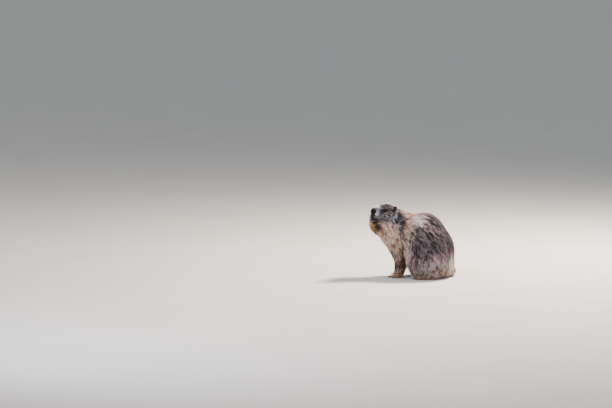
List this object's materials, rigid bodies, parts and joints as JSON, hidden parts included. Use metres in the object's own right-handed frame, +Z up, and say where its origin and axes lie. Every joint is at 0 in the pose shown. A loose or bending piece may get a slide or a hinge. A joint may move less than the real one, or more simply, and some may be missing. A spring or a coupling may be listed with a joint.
{
  "type": "alpine marmot, sitting",
  "caption": "Life-size still model of an alpine marmot sitting on its haunches, head raised and turned to its left, tail curled round its right side.",
  "frame": {"origin": "middle of the bounding box in X and Y, at floor level", "axes": "+Z up, the animal faces -Y, its left side is +X"},
  "size_m": [0.2486, 0.3418, 0.2887],
  "materials": {
    "coat": "dense grizzled grey-brown fur",
    "buff": "short buff fur",
    "dark": "long blackish fur",
    "bare": "moist bare black skin",
    "horn": "smooth dark claw horn",
    "eye": "wet dark brown eye"
  },
  "bodies": {
    "root": {"trunk": "coat", "head": "coat", "lower_jaw": "buff", "nose_pad": "bare", "neck": "coat", "eye_left": "eye", "ear_left": "buff", "forefoot_left": "buff", "fore_claw_left_1": "horn", "fore_claw_left_2": "horn", "fore_claw_left_3": "horn", "fore_claw_left_4": "horn", "hindfoot_left": "buff", "hind_claw_left_1": "horn", "hind_claw_left_2": "horn", "hind_claw_left_3": "horn", "hind_claw_left_4": "horn", "hind_claw_left_5": "horn", "foreleg_left": "coat", "shoulder_left": "coat", "thigh_left": "coat", "eye_right": "eye", "ear_right": "buff", "forefoot_right": "buff", "fore_claw_right_1": "horn", "fore_claw_right_2": "horn", "fore_claw_right_3": "horn", "fore_claw_right_4": "horn", "hindfoot_right": "buff", "hind_claw_right_1": "horn", "hind_claw_right_2": "horn", "hind_claw_right_3": "horn", "hind_claw_right_4": "horn", "hind_claw_right_5": "horn", "foreleg_right": "coat", "shoulder_right": "coat", "thigh_right": "coat", "tail": "coat", "tail_tip": "dark"}
  },
  "joints": []
}
